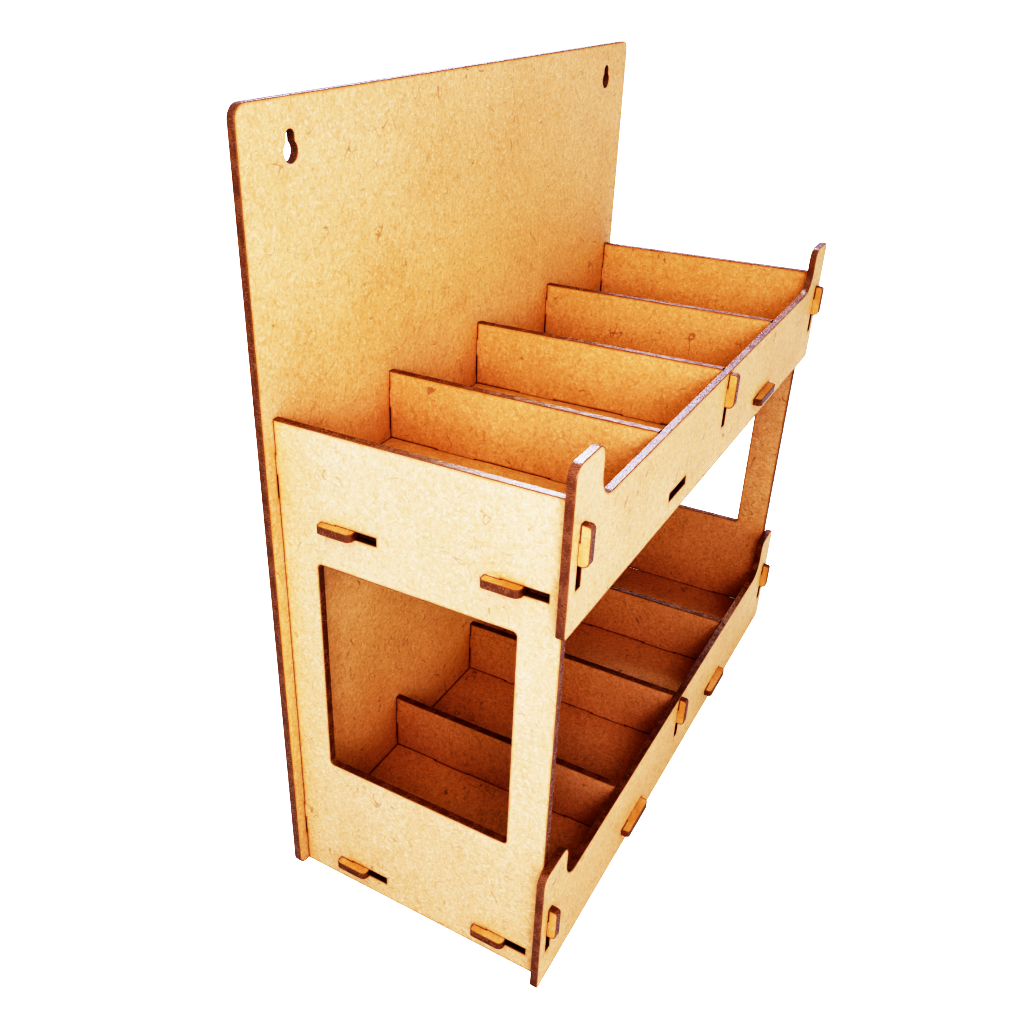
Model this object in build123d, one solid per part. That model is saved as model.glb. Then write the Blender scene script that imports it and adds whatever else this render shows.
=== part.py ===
"""Two-tier paint rack organizer, cut from flat board and held together by hooks in slots.

Frame: X to the right, Y to the back, Z up. The origin is on the surface the rack stands on, in the
middle of its bounding box. The open fronts of the trays face -Y.

Thirteen plates: a tall back panel, two side panels with a window each, two shelves, two low fronts
with raised ears, and three dividers on each shelf. Every plate is one thickness of board.
"""

import os

from build123d import *

# ---- board and overall sizes, in millimetres --------------------------------------------------
board = 3.0  # thickness of every plate
panel_width = 300.0  # back panel and both fronts
back_height = 312.0
tray_depth = 112.0  # from the back panel's front face to the fronts' rear faces
overhang = 6.0  # how far the back and the fronts reach past the outside of each side
tier_pitch = 165.0  # from one shelf to the next

# ---- shelves and dividers ---------------------------------------------------------------------
shelf_rise = 8.5  # underside of the lower shelf above the ground
divider_count = 3  # on each shelf
divider_height = 29.0  # above the shelf

# ---- fronts -----------------------------------------------------------------------------------
lip_height = 40.0  # the long straight edge of a front
ear_height = 60.0  # top of the ears at both ends
ear_width = 21.0
ear_outer_round = 4.5
ear_inner_round = 5.0
ear_foot_round = 9.0  # hollow corner where the ear meets the straight edge
front_foot_round = 2.0

# ---- sides ------------------------------------------------------------------------------------
side_above_lip = 6.0  # the sides stand this much above the upper front's straight edge
side_corner_round = 1.5
window_edge = 16.0  # board left in front of and behind the window
window_above_shelf = 51.5  # window sill above the lower shelf's top
window_below_shelf = 15.5  # window head below the upper shelf's underside
window_round = 1.5

# ---- back panel -------------------------------------------------------------------------------
back_corner_round = 5.0
keyhole_spacing = 250.0
keyhole_drop = 16.6  # centre of the round end below the top edge
keyhole_round_diameter = 6.8
keyhole_slot_width = 4.2
keyhole_slot_rise = 6.6  # top of the narrow end above the centre of the round end

# ---- hooks and their slots --------------------------------------------------------------------
hook_neck = 8.5  # length of the neck that stays in the slot
hook_head = 14.5  # length of the head, from its heel to its tip
hook_slide = 8.5  # how far a plate slides to lock, which leaves this much of the slot open
hook_reach = 3.6  # how far a head stands out of the plate it holds
grip_play = 0.1  # between a head and the plate behind it
slot_play = 0.1  # each side of a neck or a tab, across the slot
heel_round = 2.4
tip_round = 1.5

heel_above_shelf = 13.0  # upright hooks: the heel above the shelf's top
rear_side_heel = 33.0  # shelf hooks through the sides: the rear one's heel, from the back panel
front_side_heel = 14.0  # the front one's heel, from the fronts
front_neck = 17.0  # shelf hooks through the fronts are longer, and fill their slots
front_head = 23.5
front_end_play = 0.3  # at the heel end of those slots
left_front_heel = -43.5  # their heels, from the middle of the rack
right_front_heel = 70.5

# ---- divider feet -----------------------------------------------------------------------------
foot_length = 18.0
foot_inset = 22.0  # from the back panel, and from the front
foot_play = 0.1  # at each end of a foot

# ---- worked out from the sizes above ----------------------------------------------------------
side_outer = panel_width / 2 - overhang  # outer face of a side, from the middle
side_inner = side_outer - board
side_centre = side_outer - board / 2
front_rear_y = -tray_depth
shelf_bottom = {"lower": shelf_rise, "upper": shelf_rise + tier_pitch}
shelf_top = {tier: bottom + board for tier, bottom in shelf_bottom.items()}
front_bottom = {"lower": 0.0, "upper": tier_pitch}
side_height = tier_pitch + lip_height + side_above_lip
slot_width = board + 2 * slot_play
hook_end = board + grip_play + hook_reach  # outer end of a head, from the edge it grows from

divider_step = 2 * side_centre / (divider_count + 1)
divider_x = [divider_step * (n + 1) - side_centre for n in range(divider_count)]
divider_names = ["left", "centre", "right"]
upright_x = [-side_centre, *divider_x, side_centre]

hook_z = {tier: top + heel_above_shelf for tier, top in shelf_top.items()}
side_hook_y = [-rear_side_heel, front_rear_y + front_side_heel]
foot_y = [-foot_inset - foot_length / 2, front_rear_y + foot_inset + foot_length / 2]
front_heels = {"lower": [left_front_heel, right_front_heel], "upper": [right_front_heel]}


# ---- flat outlines ----------------------------------------------------------------------------
def box_between(low, high):
    """Rectangle between two opposite corners."""
    middle = ((low[0] + high[0]) / 2, (low[1] + high[1]) / 2)
    return Pos(*middle) * Rectangle(abs(high[0] - low[0]), abs(high[1] - low[1]))


def rounded(outline, point, radius):
    """The outline with the corner nearest to the point rounded."""
    corner = outline.vertices().sort_by_distance((*point, 0))[0]
    return fillet(corner, radius)


def hook(heel, out, along, neck=hook_neck, head=hook_head):
    """A neck and a head that grow from an edge: out leaves the edge, along runs to the tip."""

    def at(u, v):
        return (heel[0] + out[0] * u + along[0] * v, heel[1] + out[1] * u + along[1] * v)

    inside = board + grip_play
    outline = box_between(at(-board / 2, 0), at(inside, neck))
    outline += box_between(at(inside, 0), at(hook_end, head))
    outline = rounded(outline, at(hook_end, 0), heel_round)
    return rounded(outline, at(hook_end, head), tip_round)


def slot(heel, along, neck=hook_neck, slide=hook_slide):
    """The slot for a hook: the neck bears on one end, and the rest stays open."""
    across = (along[1] * slot_width / 2, along[0] * slot_width / 2)
    low = (heel[0] - along[0] * slide - across[0], heel[1] - along[1] * slide - across[1])
    high = (heel[0] + along[0] * neck + across[0], heel[1] + along[1] * neck + across[1])
    return box_between(low, high)


UP = (0, 1)
RIGHT = (1, 0)
LEFT = (-1, 0)
DOWN = (0, -1)


def keyhole(x):
    """Round end below, narrow end above."""
    centre_z = back_height - keyhole_drop
    narrow_z = centre_z + keyhole_slot_rise - keyhole_slot_width / 2
    narrow = box_between(
        (x - keyhole_slot_width / 2, centre_z), (x + keyhole_slot_width / 2, narrow_z)
    )
    narrow += Pos(x, narrow_z) * Circle(keyhole_slot_width / 2)
    return narrow + Pos(x, centre_z) * Circle(keyhole_round_diameter / 2)


# ---- plates -----------------------------------------------------------------------------------
def upright_across(outline, front_face_y):
    """A plate across the rack, from an outline in X and Z, with its front face at that Y."""
    return extrude(Plane.XZ.offset(-front_face_y - board) * outline, board)


def upright_along(outline, centre_x):
    """A plate from front to back, from an outline in Y and Z, centred on that X."""
    return extrude(Plane.YZ.offset(centre_x - board / 2) * outline, board)


def back_panel():
    outline = Pos(0, back_height / 2) * RectangleRounded(
        panel_width, back_height, back_corner_round
    )
    for tier in hook_z:
        for x in upright_x:
            outline -= slot((x, hook_z[tier]), UP)
    for x in (-keyhole_spacing / 2, keyhole_spacing / 2):
        outline -= keyhole(x)
    return upright_across(outline, 0)


def side_panel(centre_x):
    outline = box_between((front_rear_y, 0), (0, side_height))
    outline = rounded(outline, (front_rear_y, 0), side_corner_round)
    sill = shelf_top["lower"] + window_above_shelf
    head = shelf_bottom["upper"] - window_below_shelf
    window = RectangleRounded(tray_depth - 2 * window_edge, head - sill, window_round)
    outline -= Pos(front_rear_y / 2, (sill + head) / 2) * window
    for tier in hook_z:
        outline += hook((0, hook_z[tier]), RIGHT, UP)
        outline += hook((front_rear_y, hook_z[tier]), LEFT, UP)
        for y in side_hook_y:
            outline -= slot((y, shelf_bottom[tier] + board / 2), RIGHT)
    return upright_along(outline, centre_x)


def front_panel(tier):
    half = panel_width / 2
    inner = half - ear_width
    outline = box_between((-half, 0), (half, ear_height))
    outline -= box_between((-inner, lip_height), (inner, ear_height))
    for end in (-1, 1):
        outline = rounded(outline, (end * half, 0), front_foot_round)
        outline = rounded(outline, (end * half, ear_height), ear_outer_round)
        outline = rounded(outline, (end * inner, ear_height), ear_inner_round)
        outline = rounded(outline, (end * inner, lip_height), ear_foot_round)
    outline = Pos(0, front_bottom[tier]) * outline
    for x in (-side_centre, 0, side_centre):
        outline -= slot((x, hook_z[tier]), UP)
    for heel in (left_front_heel, right_front_heel):
        centre_z = shelf_bottom[tier] + board / 2
        outline -= slot((heel, centre_z), LEFT, front_neck, front_end_play)
    return upright_across(outline, front_rear_y - board)


def shelf(tier):
    outline = box_between((-side_inner, front_rear_y), (side_inner, 0))
    for y in side_hook_y:
        outline += hook((-side_inner, y), LEFT, UP)
        outline += hook((side_inner, y), RIGHT, UP)
    for x in front_heels[tier]:
        outline += hook((x, front_rear_y), DOWN, LEFT, front_neck, front_head)
    for x in divider_x:
        for y in foot_y:
            outline -= Pos(x, y) * Rectangle(slot_width, foot_length + 2 * foot_play)
    return extrude(Plane.XY.offset(shelf_bottom[tier]) * outline, board)


def divider(tier, centre_x, hooks_front):
    top = shelf_top[tier]
    outline = box_between((front_rear_y, top), (0, top + divider_height))
    for y in foot_y:
        outline += Pos(y, top) * Rectangle(foot_length, 2 * board)
    outline += hook((0, hook_z[tier]), RIGHT, UP)
    if hooks_front:
        outline += hook((front_rear_y, hook_z[tier]), LEFT, UP)
    return upright_along(outline, centre_x)


def rack():
    """Every plate by name, in the rack's own frame."""
    plates = {
        "back_panel": back_panel(),
        "left_side": side_panel(-side_centre),
        "right_side": side_panel(side_centre),
    }
    for tier in ("upper", "lower"):
        plates[f"{tier}_shelf"] = shelf(tier)
        plates[f"{tier}_front"] = front_panel(tier)
        for name, x in zip(divider_names, divider_x):
            plates[f"{tier}_{name}_divider"] = divider(tier, x, name == "centre")
    return plates


# The plates are drawn from the back panel's front face. This moves the middle of the whole
# depth, from the heads behind the back panel to the heads before the fronts, to the origin.
to_centre = Pos(0, tray_depth / 2, 0)

os.makedirs("parts", exist_ok=True)
for node, plate in rack().items():
    export_step(to_centre * plate, f"parts/{node}.step")
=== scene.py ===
# %% [markdown]
# # A two-tier paint rack in laser-cut fibreboard
#
# The rack is thirteen flat plates of fibreboard, taken as 3 mm thick, that hook into each other.
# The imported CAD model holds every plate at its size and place, so this lesson makes no new
# layout. It takes each plate's outline from its node, rebuilds the plate with the softened,
# charred edge that a laser leaves, and gives the board and the burnt edge their own materials.

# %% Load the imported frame
import math

import bmesh
import bpy
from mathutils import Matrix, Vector
from mathutils.geometry import tessellate_polygon


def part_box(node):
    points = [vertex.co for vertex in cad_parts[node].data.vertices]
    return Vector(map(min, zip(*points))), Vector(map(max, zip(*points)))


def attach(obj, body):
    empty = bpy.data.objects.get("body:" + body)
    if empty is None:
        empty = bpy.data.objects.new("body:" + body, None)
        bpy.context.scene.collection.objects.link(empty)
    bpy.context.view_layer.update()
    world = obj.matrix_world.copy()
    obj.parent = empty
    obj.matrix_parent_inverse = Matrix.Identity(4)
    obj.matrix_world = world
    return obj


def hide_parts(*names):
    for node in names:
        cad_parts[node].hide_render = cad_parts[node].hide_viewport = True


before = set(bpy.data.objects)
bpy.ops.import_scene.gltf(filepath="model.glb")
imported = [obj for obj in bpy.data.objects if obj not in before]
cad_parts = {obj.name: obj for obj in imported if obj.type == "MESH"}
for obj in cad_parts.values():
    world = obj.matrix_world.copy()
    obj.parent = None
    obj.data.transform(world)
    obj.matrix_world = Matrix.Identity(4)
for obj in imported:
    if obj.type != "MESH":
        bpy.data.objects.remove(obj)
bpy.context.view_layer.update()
tiers = ("upper", "lower")
mm = 0.001
print("nodes:", sorted(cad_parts))

# %% [markdown]
# ## The camera
#
# The rack is seen from close by, off its left front corner and from a little above its top edge.
# So the near corner looms and the far end shrinks fast. The lens is a little wider than a normal
# one, and a small sideways shift keeps the rack in the middle of the frame.

# %% Camera
camera_place = Vector((-0.3827, -0.1552, 0.3480))
camera_pitch, camera_roll, camera_heading = 60.94, 0.06, -58.17
camera_lens = 35.14
camera_shift = (0.081, 0.0034)
nearest_seen = 0.01
camera = bpy.data.objects.new("camera", bpy.data.cameras.new("camera"))
camera.location = camera_place
camera.rotation_euler = [math.radians(a) for a in (camera_pitch, camera_roll, camera_heading)]
camera.data.lens = camera_lens
camera.data.shift_x, camera.data.shift_y = camera_shift
camera.data.clip_start = nearest_seen
bpy.context.scene.collection.objects.link(camera)
bpy.context.scene.camera = camera
print("camera stands", round(camera_place.length, 3), "m from the origin")

# %% [markdown]
# ## Shader sums as Python sums
#
# A pattern in a material is mostly arithmetic on numbers that change over the surface. Dragging
# Math nodes by hand hides that arithmetic, so one small class wraps a socket and lets it be
# added, subtracted and scaled with the ordinary operators. Each of them adds one Math node.


# %% Sockets that can be used in sums
class Field:
    """A number that changes over the surface, as the socket that gives it."""

    def __init__(self, finish, socket):
        self.finish = finish
        self.socket = socket

    def math(self, operation, *terms):
        return self.finish.node("ShaderNodeMath", {"operation": operation}, terms)

    def __add__(self, other):
        return self.math("ADD", self, other)

    def __sub__(self, other):
        return self.math("SUBTRACT", self, other)

    def __rsub__(self, other):
        return self.math("SUBTRACT", other, self)

    def __mul__(self, other):
        return self.math("MULTIPLY", self, other)

    __radd__ = __add__
    __rmul__ = __mul__

    def size(self):
        return self.math("ABSOLUTE", self)

    def ramp(self, low, high):
        """0 below low, 1 above high, and a smooth step between them."""
        settings = {"interpolation_type": "SMOOTHSTEP"}
        return self.finish.node("ShaderNodeMapRange", settings, (self, low, high))


class Finish:
    """A material in the making."""

    def __init__(self, name):
        self.material = bpy.data.materials.new(name)
        self.material.use_nodes = True
        self.tree = self.material.node_tree
        self.shader = self.tree.nodes["Principled BSDF"]
        self.place = self.node("ShaderNodeTexCoord", output="Object")

    def plug(self, socket, value):
        if isinstance(value, Field):
            self.tree.links.new(value.socket, socket)
        else:
            socket.default_value = value

    def node(self, kind, settings=None, values=(), output=0):
        """Adds a node: its settings first, then its sockets, in order or by name."""
        made = self.tree.nodes.new(kind)
        for name, setting in (settings or {}).items():
            setattr(made, name, setting)
        pairs = values.items() if isinstance(values, dict) else enumerate(values)
        for key, value in pairs:
            self.plug(made.inputs[key], value)
        return Field(self, made.outputs[output])

    def noise(self, per_metre, detail=3.0, roughness=0.5, distortion=0.0, place=None):
        values = {
            "Vector": place or self.place,
            "Scale": per_metre,
            "Detail": detail,
            "Roughness": roughness,
            "Distortion": distortion,
        }
        return self.node("ShaderNodeTexNoise", None, values, "Fac")

    def shifted(self, shift):
        """The place on the piece, moved, so that two patterns of one size don't coincide."""
        values = {"Vector": self.place, "Location": shift}
        return self.node("ShaderNodeMapping", None, values, "Vector")

    def blend(self, share, first, second):
        """A colour between two colours."""
        made = self.tree.nodes.new("ShaderNodeMix")
        made.data_type = "RGBA"
        sockets = [s for s in made.inputs if s.enabled]
        for socket, value in zip(sockets, (share, first, second)):
            self.plug(socket, value)
        return Field(self, next(s for s in made.outputs if s.enabled))

    def attribute(self, name):
        return self.node("ShaderNodeAttribute", {"attribute_name": name}, output="Fac")

    def bump(self, height, depth):
        values = {"Height": height, "Distance": depth, "Strength": 1.0}
        self.plug(self.shader.inputs["Normal"], self.node("ShaderNodeBump", None, values))


# %% [markdown]
# ## The face of the board
#
# Fibreboard is wood ground to fluff and pressed flat. Close to, it is honey brown with soft
# clouds a few centimetres wide, a fine mottle of light and dark fluff, and a felt of short curled
# strands, with a longer dark hair here and there. A curled line is easy to draw with noise: where
# a smooth noise crosses one chosen value it leaves a thin winding contour, and a second noise
# breaks that contour into short lengths. Beside a cut the face is tanned by the laser's heat,
# which the mesh tells the material through an attribute named scorch. The heads of the hooks are
# so narrow that the heat tans them right across. They are the only parts that stand out beyond
# the panels, so their place is enough to find them. The fronts and the back panel reach past the
# sides too, so a stretch a little deeper than their thickness is left out there.

# %% Board face
board_light = (0.74, 0.530, 0.295, 1)
board_dark = (0.66, 0.447, 0.230, 1)
strand_dark = (0.50, 0.33, 0.15, 1)
strand_pale = (0.88, 0.74, 0.50, 1)
hair = (0.30, 0.17, 0.09, 1)
tanned = (0.56, 0.33, 0.12, 1)
singed = (0.22, 0.13, 0.09, 1)
side_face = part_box("right_side")[1][0]
panel_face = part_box("back_panel")[1][1]
panel_clearance = 4 * mm
head_margin = 0.1 * mm
face_bump = 0.06 * mm


def strands(finish, per_metre, width, cover, shift):
    """Short winding lines: 1 on a strand, 0 beside it. Cover is how much of each line stays."""
    place = finish.shifted(shift)
    winding = finish.noise(per_metre, detail=1.0, distortion=0.8, place=place)
    line = 1 - (winding - 0.5).size().ramp(width * 0.3, width)
    middle = 0.5 + (0.5 - cover) * 0.4
    piece = finish.noise(per_metre * 1.6, detail=0.0, place=place)
    return line * piece.ramp(middle - 0.03, middle + 0.03)


def hook_heads(finish):
    """1 on what stands out through a side, a front or the back panel, 0 elsewhere."""
    parts = finish.node("ShaderNodeSeparateXYZ", None, (finish.place,)).socket.node.outputs
    x, y = (Field(finish, parts[axis]).size() for axis in (0, 1))
    between = y.math("LESS_THAN", y, panel_face - panel_clearance)
    through_side = x.math("GREATER_THAN", x, side_face) * between
    through_panel = y.math("GREATER_THAN", y, panel_face + head_margin)
    return through_side.math("MAXIMUM", through_side, through_panel)


def board_face():
    finish = Finish("fibreboard_face")
    clouds = finish.noise(22.0, detail=2.0).ramp(0.35, 0.68)
    mottle = finish.noise(330.0, detail=4.0, roughness=0.68).ramp(0.34, 0.67)
    fluff = finish.noise(1000.0, detail=2.0, roughness=0.7).ramp(0.32, 0.70)
    felt = strands(finish, 400.0, 0.075, 0.60, (0.4, 0.2, 0.3))
    loose = strands(finish, 230.0, 0.040, 0.40, (0.3, 0.9, 0.6))
    pale = strands(finish, 460.0, 0.070, 0.50, (0.1, 0.7, 0.5))
    hairs = strands(finish, 80.0, 0.009, 0.16, (0.8, 0.5, 0.2))
    scorch = finish.attribute("scorch")

    tone = clouds * 0.36 + mottle * 0.37 + fluff * 0.27
    colour = finish.blend(tone, board_dark, board_light)
    colour = finish.blend(pale * 0.22, colour, strand_pale)
    colour = finish.blend(felt * 0.26, colour, strand_dark)
    colour = finish.blend(loose * 0.28, colour, strand_dark)
    colour = finish.blend(hairs * 0.40, colour, hair)
    uneven = 0.25 + finish.noise(90.0, detail=3.0).ramp(0.25, 0.75) * 0.5
    heat = scorch.ramp(0.02, 0.75)
    heat = heat.math("MAXIMUM", heat, hook_heads(finish))
    colour = finish.blend(heat * uneven, colour, tanned)
    colour = finish.blend(scorch.ramp(0.78, 1.0) * 0.8, colour, singed)
    finish.plug(finish.shader.inputs["Base Color"], colour)
    finish.plug(finish.shader.inputs["Roughness"], 0.50 + mottle * 0.14)
    finish.bump(mottle * 0.4 + fluff * 0.3 + felt * 0.3, face_bump)
    return finish.material


face_material = board_face()
print("made", face_material.name)

# %% [markdown]
# ## The burnt edge
#
# The laser leaves the cut edge dark brown and slightly glazed, with fine lines that run across
# the thickness where the beam pulsed along its path. Near both faces the char is lighter and
# redder. The glaze is why these edges flash pale where they face a window. The attribute named
# depth runs from 0 at one face to 1 at the other, and the attribute named along is the distance
# along the cut, so the lines follow the curves of the outline. On the last stretch of a loop it
# runs back to 0, which crowds the lines there.

# %% Cut edge
char_dark = (0.22, 0.115, 0.050, 1)
char_light = (0.35, 0.205, 0.100, 1)
char_red = (0.42, 0.22, 0.09, 1)
glaze_ior = 1.62
pulse_spread = 1.2 * mm
edge_bump = 0.05 * mm


def cut_edge():
    finish = Finish("charred_cut_edge")
    along = finish.attribute("along")
    depth = finish.attribute("depth")
    path = finish.node("ShaderNodeCombineXYZ", None, (along, depth * pulse_spread))
    lines = finish.noise(2600.0, detail=2.0, roughness=0.6, place=path).ramp(0.30, 0.70)
    soot = finish.noise(140.0, detail=3.0, roughness=0.6).ramp(0.30, 0.72)
    colour = finish.blend(lines * 0.45 + soot * 0.55, char_dark, char_light)
    rim = (depth - 0.5).size().ramp(0.34, 0.5)
    colour = finish.blend(rim * 0.45, colour, char_red)
    finish.plug(finish.shader.inputs["Base Color"], colour)
    finish.plug(finish.shader.inputs["Roughness"], 0.17 + soot * 0.12 + lines * 0.06)
    finish.shader.inputs["IOR"].default_value = glaze_ior
    finish.bump(lines * 0.7 + soot * 0.3, edge_bump)
    return finish.material


edge_material = cut_edge()
print("made", edge_material.name)

# %% [markdown]
# ## From a CAD node to a finished plate
#
# A node arrives as loose triangles. One side of it is all that is needed, because a plate is an
# outline times a thickness: the free edges of the triangles on that side chain up into the outer
# outline and the holes. From those loops the plate is built again as rings. Each ring is the
# outline moved a little way into the board, and the rings between face and wall give the cut its
# soft corner. A Bevel modifier would do nearly the same, but its result depends on the stray
# triangle edges that end at each corner, and rings can also carry the scorch attribute.


# %% Outlines
weld_reach = 0.002 * mm
face_reach = 0.01 * mm
shortest_edge = 0.005 * mm
least_turn = 1e-5
sharp_turn = 0.3


def free_loops(node):
    """The loops on the plate's low side, their two axes, the axis across it, and its span."""
    low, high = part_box(node)
    size = [high[i] - low[i] for i in range(3)]
    across = size.index(min(size))
    axes = [i for i in range(3) if i != across]
    shape = bmesh.new()
    shape.from_mesh(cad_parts[node].data)
    bmesh.ops.remove_doubles(shape, verts=shape.verts, dist=weld_reach)
    level = low[across] + face_reach
    near = [f for f in shape.faces if all(v.co[across] < level for v in f.verts)]
    kept = set(near)
    following = {}
    for face in near:
        for loop in face.loops:
            if sum(f in kept for f in loop.edge.link_faces) == 1:
                following[loop.vert] = loop.link_loop_next.vert
    loops = []
    while following:
        start, vert = next(iter(following.items()))
        points = [start]
        del following[start]
        while vert is not start:
            points.append(vert)
            vert = following.pop(vert)
        loops.append([Vector((p.co[axes[0]], p.co[axes[1]])) for p in points])
    shape.free()
    return loops, axes, across, (low[across], high[across])


def signed_area(points):
    pairs = zip(points, points[1:] + points[:1])
    return sum(a.x * b.y - b.x * a.y for a, b in pairs) / 2


def tidy(points):
    """The loop without points that lie on a straight run or on each other."""
    kept = []
    for i, point in enumerate(points):
        before = point - (kept[-1] if kept else points[i - 1])
        after = points[(i + 1) % len(points)] - point
        if before.length < shortest_edge:
            continue
        turn = before.x * after.y - before.y * after.x
        if abs(turn) > least_turn * before.length * after.length:
            kept.append(point)
    return kept


def inward(points):
    """For each point, the step into the board that moves both of its edges in by one."""
    steps = []
    for i, point in enumerate(points):
        before = (point - points[i - 1]).normalized()
        after = (points[(i + 1) % len(points)] - point).normalized()
        left_before = Vector((-before.y, before.x))
        left_after = Vector((-after.y, after.x))
        both = left_before + left_after
        steps.append(both / (1 + left_before.dot(left_after)))
    return steps


def is_slot_loop(points, is_hole):
    """True for a hole with four plain corners. A window's are round, so it isn't one."""
    return is_hole and len(points) == slot_points


def narrowed(points):
    """The slot with its long walls a hair closer, so that less light shows past the hook."""
    spans = [max(p[axis] for p in points) - min(p[axis] for p in points) for axis in (0, 1)]
    across = spans.index(min(spans))
    middle = sum(p[across] for p in points) / len(points)
    moved = [p.copy() for p in points]
    for p in moved:
        p[across] += math.copysign(slot_squeeze, middle - p[across])
    return moved


def folds(points):
    """True if the board juts sharply into this hole, so that a wide ring would cross itself."""
    for i, point in enumerate(points):
        before = point - points[i - 1]
        after = points[(i + 1) % len(points)] - point
        turn = before.x * after.y - before.y * after.x
        if turn > sharp_turn * before.length * after.length:
            return True
    return False


sample_loops = free_loops("back_panel")[0]
print("back panel: 1 outline and", len(sample_loops) - 1, "holes")

# %% [markdown]
# ## Rings, walls and faces
#
# The list of rings goes from one face, over the soft corner, down the wall and up to the other
# face. Every ring knows how far it is moved into the board, how deep it lies and how scorched it
# is. The outermost ring is where the tan fades out. It lies further off round a slot, where the
# tan is wider than beside a long straight cut. Round a keyhole the tanned rings are drawn in,
# since the sharp inner corners would fold a wide ring over. Slots and shelves have the crispest
# corners, and a slot's long walls stand a hair closer than they are cut, so that less light
# shows past the hooks.

# %% Plates
corner = 0.15 * mm
slot_corner = 0.04 * mm
slot_squeeze = 0.07 * mm
tan_width = 1.0 * mm
singe_width = 0.45 * mm
fade_width = 1.3 * mm
halo_width = 3.2 * mm
keyhole_share = 0.35
slot_points = 4
tan_mark = 0.32
singe_mark = 0.85
corner_share = 1 - math.sqrt(0.5)
crease_angle = math.radians(20)


def ring_list(thickness, points, is_hole, is_shelf):
    """Rings from the low face to the high face: step into the board, depth, scorch."""
    is_slot = is_slot_loop(points, is_hole)
    share = keyhole_share if is_hole and folds(points) else 1.0
    widest_ring = halo_width if is_slot else fade_width
    face = [(widest_ring, 0.0, 0.0), (tan_width, 0.0, tan_mark), (singe_width, 0.0, singe_mark)]
    soft_width = slot_corner if is_slot or is_shelf else corner
    face = [(corner + (step - corner) * share, depth, mark) for step, depth, mark in face]
    face.append((soft_width, 0.0, 1.0))
    soft = [(soft_width * corner_share, soft_width * corner_share, 1.0), (0.0, soft_width, 1.0)]
    low_half = face + soft
    high_half = [(step, thickness - depth, mark) for step, depth, mark in reversed(low_half)]
    return low_half + high_half, len(face)


def plate_mesh(name, node):
    """A closed mesh of the plate, with its attributes, from its CAD node's outline."""
    loops, axes, across, (low, high) = free_loops(node)
    thickness = high - low
    loops = [tidy(points) for points in loops]
    widest = max(range(len(loops)), key=lambda i: abs(signed_area(loops[i])))
    shape = bmesh.new()
    scorch = shape.verts.layers.float.new("scorch")
    depth_mark = shape.verts.layers.float.new("depth")
    along_mark = shape.verts.layers.float.new("along")
    fills = {0: [], -1: []}
    for index, points in enumerate(loops):
        wanted = 1 if index == widest else -1
        if signed_area(points) * wanted < 0:
            points = points[::-1]
        if is_slot_loop(points, index != widest):
            points = narrowed(points)
        steps = inward(points)
        rings, face_rings = ring_list(thickness, points, index != widest, "shelf" in node)
        walked, distances = 0.0, []
        for i, point in enumerate(points):
            distances.append(walked)
            walked += (points[(i + 1) % len(points)] - point).length
        grid = []
        for step, depth, mark in rings:
            row = []
            for point, way, distance in zip(points, steps, distances):
                place = [0.0, 0.0, 0.0]
                place[axes[0]], place[axes[1]] = point + way * step
                place[across] = low + depth
                vert = shape.verts.new(place)
                vert[scorch] = mark
                vert[depth_mark] = depth / thickness
                vert[along_mark] = distance
                row.append(vert)
            grid.append(row)
        for r, (first, second) in enumerate(zip(grid, grid[1:])):
            is_wall = face_rings - 1 <= r < len(grid) - face_rings
            for i in range(len(points)):
                j = (i + 1) % len(points)
                quad = shape.faces.new((first[i], first[j], second[j], second[i]))
                quad.material_index = int(is_wall)
                quad.smooth = is_wall
        fills[0].append(grid[0])
        fills[-1].append(grid[-1])
    for rows in fills.values():
        flat = [[Vector((v.co[axes[0]], v.co[axes[1]], 0)) for v in row] for row in rows]
        verts = [v for row in rows for v in row]
        for corners in tessellate_polygon(flat):
            shape.faces.new([verts[c] for c in corners])
    bmesh.ops.recalc_face_normals(shape, faces=shape.faces)
    for edge in shape.edges:
        if len(edge.link_faces) == 2 and edge.calc_face_angle() > crease_angle:
            edge.smooth = False
    gaps = sum(not e.is_manifold for e in shape.edges)
    mesh = bpy.data.meshes.new(name)
    shape.to_mesh(mesh)
    shape.free()
    for material in (face_material, edge_material):
        mesh.materials.append(material)
    print(f"{name}: {len(mesh.polygons)} faces, {gaps} open edges")
    return mesh


def finished(name, mesh, *nodes):
    """Puts a finished piece in the scene in place of its CAD nodes."""
    piece = bpy.data.objects.new(name, mesh)
    bpy.context.scene.collection.objects.link(piece)
    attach(piece, "root")
    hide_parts(*nodes)


single_plates = ["back_panel", "left_side", "right_side"]
single_plates += [f"{tier}_{part}" for tier in tiers for part in ("shelf", "front")]
for node in single_plates:
    finished(f"{node}_plate", plate_mesh(f"{node}_plate", node), node)

# %% [markdown]
# ## Dividers at an even step
#
# The dividers of a tier stand like slats, at one even step between the two sides. The left and
# the right one are cut alike, and the middle one has a hook for the front as well. One finished
# slat per kind is enough: a Geometry Nodes tree sets it out along the rack with a count and a
# step as its inputs. The tree ends in Realize Instances and Set Material, since an instance would
# be lost in an export.


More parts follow.
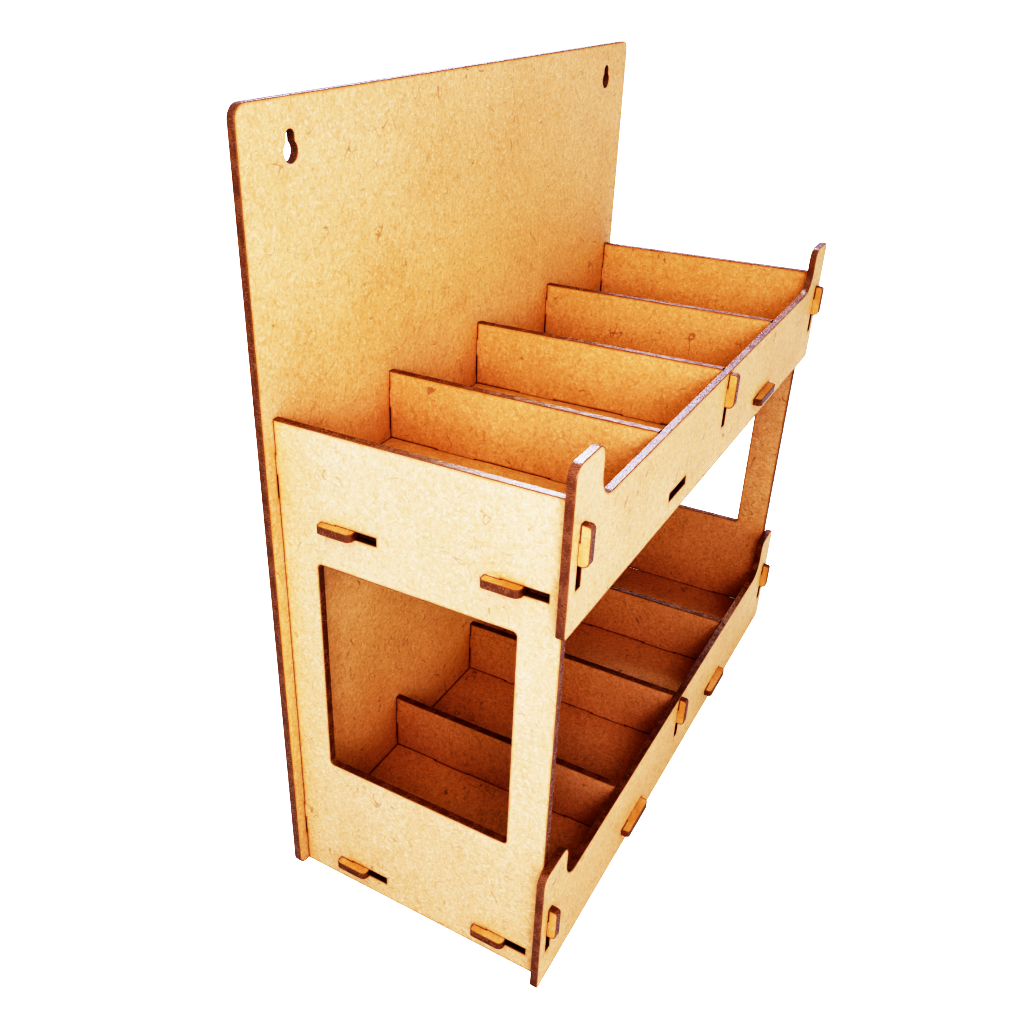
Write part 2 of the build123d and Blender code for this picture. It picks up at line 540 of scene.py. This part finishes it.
# %% The row of slats
def row_tree():
    """Copies the incoming plate along X, with inputs for the count and the step."""
    tree = bpy.data.node_groups.new("row_of_slats", "GeometryNodeTree")
    make = tree.interface.new_socket
    make("Slat", in_out="INPUT", socket_type="NodeSocketGeometry")
    make("Count", in_out="INPUT", socket_type="NodeSocketInt")
    make("Step", in_out="INPUT", socket_type="NodeSocketFloat")
    make("Row", in_out="OUTPUT", socket_type="NodeSocketGeometry")

    def node(kind, settings=None, values=None):
        made = tree.nodes.new(kind)
        for name, setting in (settings or {}).items():
            setattr(made, name, setting)
        for key, value in (values or {}).items():
            if isinstance(value, bpy.types.NodeSocket):
                tree.links.new(value, made.inputs[key])
            else:
                made.inputs[key].default_value = value
        return made

    given = node("NodeGroupInput").outputs
    step = node("ShaderNodeCombineXYZ", None, {"X": given["Step"]}).outputs[0]
    line_values = {"Count": given["Count"], "Offset": step}
    line = node("GeometryNodeMeshLine", None, line_values).outputs[0]
    copies = {"Points": line, "Instance": given["Slat"]}
    slats = node("GeometryNodeInstanceOnPoints", None, copies).outputs[0]
    solid = node("GeometryNodeRealizeInstances", None, {0: slats}).outputs[0]
    yes_or_no = {"data_type": "BOOLEAN"}
    cut = node("GeometryNodeInputNamedAttribute", yes_or_no, {"Name": "is_cut"}).outputs[0]
    faces = {"Geometry": solid, "Material": face_material}
    faced = node("GeometryNodeSetMaterial", None, faces).outputs[0]
    edges = {"Geometry": faced, "Selection": cut, "Material": edge_material}
    edged = node("GeometryNodeSetMaterial", None, edges).outputs[0]
    node("NodeGroupOutput", None, {"Row": edged})
    return tree


def row_of_slats(name, tree, nodes):
    """One mesh with a slat at the place of each node, which all stand at one step."""
    places = [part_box(n)[0][0] for n in nodes]
    step = (places[-1] - places[0]) / max(1, len(nodes) - 1)
    slat = plate_mesh(f"{name}_slat", nodes[0])
    cut = slat.attributes.new("is_cut", "BOOLEAN", "FACE")
    cut.data.foreach_set("value", [p.material_index == 1 for p in slat.polygons])
    maker = bpy.data.objects.new(f"{name}_maker", slat)
    bpy.context.scene.collection.objects.link(maker)
    row = maker.modifiers.new("row", "NODES")
    row.node_group = tree
    wanted = {"Count": len(nodes), "Step": step}
    for item in tree.interface.items_tree:
        if item.in_out == "INPUT" and item.name in wanted:
            row[item.identifier] = wanted[item.name]
    depsgraph = bpy.context.evaluated_depsgraph_get()
    mesh = bpy.data.meshes.new_from_object(maker.evaluated_get(depsgraph), depsgraph=depsgraph)
    mesh.name = name
    bpy.data.objects.remove(maker)
    print(f"{name}: {len(nodes)} slats, step {step / mm:.2f} mm, {len(mesh.materials)} materials")
    return mesh


slat_tree = row_tree()
for tier in tiers:
    outer = [f"{tier}_left_divider", f"{tier}_right_divider"]
    centre = [f"{tier}_centre_divider"]
    for name, nodes in ((f"{tier}_outer_slats", outer), (f"{tier}_centre_slat", centre)):
        finished(name, row_of_slats(name, slat_tree, nodes), *nodes)

# %% [markdown]
# ## Floor and light
#
# The rack stands on a plain floor. A soft bluish light comes from all round, so the lower tier,
# which the upper one covers, falls into brown shade. A lamp near the left end and a wide one
# further off on the left light the side. A low yellowish lamp in front lights the back panel and
# the fronts and only grazes the shelves, and a weak one high on the left lights the upper tray. A
# cool window, high behind the rack on the right, makes the glazed edges glint. The tints of the
# lamps were tuned together with the colours of the board. A Light Path node gives the floor and
# the sky a white glow that only the camera sees, so that it adds no light to the rack.


# %% Studio
floor_half = 6.0
floor_glow = 1.9
floor_roughness = 0.9
floor_dark = (0.60, 0.60, 0.60, 1)
floor_light = (0.64, 0.64, 0.64, 1)
background_glow = 2.2
sky_strength = 1.0
sky_colour = (0.82, 0.87, 1.25, 1)
white = (1, 1, 1, 1)
black = (0, 0, 0, 1)
near_corner = (-0.13, -0.05, 0.16)


def floor():
    finish = Finish("studio_floor")
    cloud = finish.noise(3.0, detail=2.0)
    colour = finish.blend(cloud, floor_dark, floor_light)
    seen = finish.node("ShaderNodeLightPath", output="Is Camera Ray")
    finish.plug(finish.shader.inputs["Base Color"], colour)
    finish.plug(finish.shader.inputs["Emission Color"], finish.blend(seen, black, white))
    finish.shader.inputs["Emission Strength"].default_value = floor_glow
    finish.shader.inputs["Roughness"].default_value = floor_roughness
    ends = (-floor_half, floor_half)
    mesh = bpy.data.meshes.new("floor")
    mesh.from_pydata([(x, y, 0) for x in ends for y in ends], [], [(0, 2, 3, 1)])
    mesh.materials.append(finish.material)
    made = bpy.data.objects.new("floor", mesh)
    bpy.context.scene.collection.objects.link(made)


def sky():
    """White behind everything to the camera, and a soft bluish light for the rest."""
    world = bpy.data.worlds.new("sky")
    world.use_nodes = True
    tree = world.node_tree
    dim = tree.nodes["Background"]
    dim.inputs["Color"].default_value = sky_colour
    dim.inputs["Strength"].default_value = sky_strength
    bright = tree.nodes.new("ShaderNodeBackground")
    bright.inputs["Strength"].default_value = background_glow
    seen = tree.nodes.new("ShaderNodeLightPath")
    either = tree.nodes.new("ShaderNodeMixShader")
    tree.links.new(seen.outputs["Is Camera Ray"], either.inputs["Fac"])
    tree.links.new(dim.outputs[0], either.inputs[1])
    tree.links.new(bright.outputs[0], either.inputs[2])
    tree.links.new(either.outputs[0], tree.nodes["World Output"].inputs["Surface"])
    bpy.context.scene.world = world


def lamp(name, place, target, size, watts, colour):
    light = bpy.data.lights.new(name, "AREA")
    light.shape = "SQUARE"
    light.size = size
    light.energy = watts
    light.color = colour
    made = bpy.data.objects.new(name, light)
    made.location = place
    aim = Vector(target) - Vector(place)
    made.rotation_euler = aim.to_track_quat("-Z", "Y").to_euler()
    bpy.context.scene.collection.objects.link(made)


floor()
sky()
lamp("side_lamp", (-0.50, -0.25, 0.40), near_corner, 0.20, 2.15, (0.52, 0.54, 1.0))
lamp("left_lamp", (-0.95, -0.30, 0.50), near_corner, 0.60, 1.90, (0.88, 1.0, 0.66))
lamp("front_lamp", (-0.05, -1.00, 0.25), near_corner, 0.50, 1.40, (1.0, 1.0, 0.34))
lamp("top_lamp", (-0.45, -0.05, 0.85), near_corner, 0.40, 0.70, (0.85, 1.0, 0.55))
lamp("window", (0.59, 0.27, 0.82), near_corner, 0.36, 5.5, (0.60, 0.78, 1.0))

# %% [markdown]
# ## Contrast
#
# The Standard view shows colours as they are and cuts off whatever is brighter than white. A
# curve over it makes the deepest shade black, steepens the middle and lets the bright near end
# fade to cream. It is the S-shaped response of film: half of white is reached where the light
# equals the middle, and the steepness sets how fast it gets there.

# %% View
brightest = 2.0
middle_light = 0.51
steepness = 4.7
curve_steps = 20
view = bpy.context.scene.view_settings
view.view_transform = "Standard"
view.use_curve_mapping = True
view.curve_mapping.white_level = (brightest,) * 3
for step in range(1, curve_steps):
    light = brightest * step / curve_steps
    shown = 1 / (1 + (middle_light / light) ** steepness)
    view.curve_mapping.curves[3].points.new(light / brightest, shown)
view.curve_mapping.update()
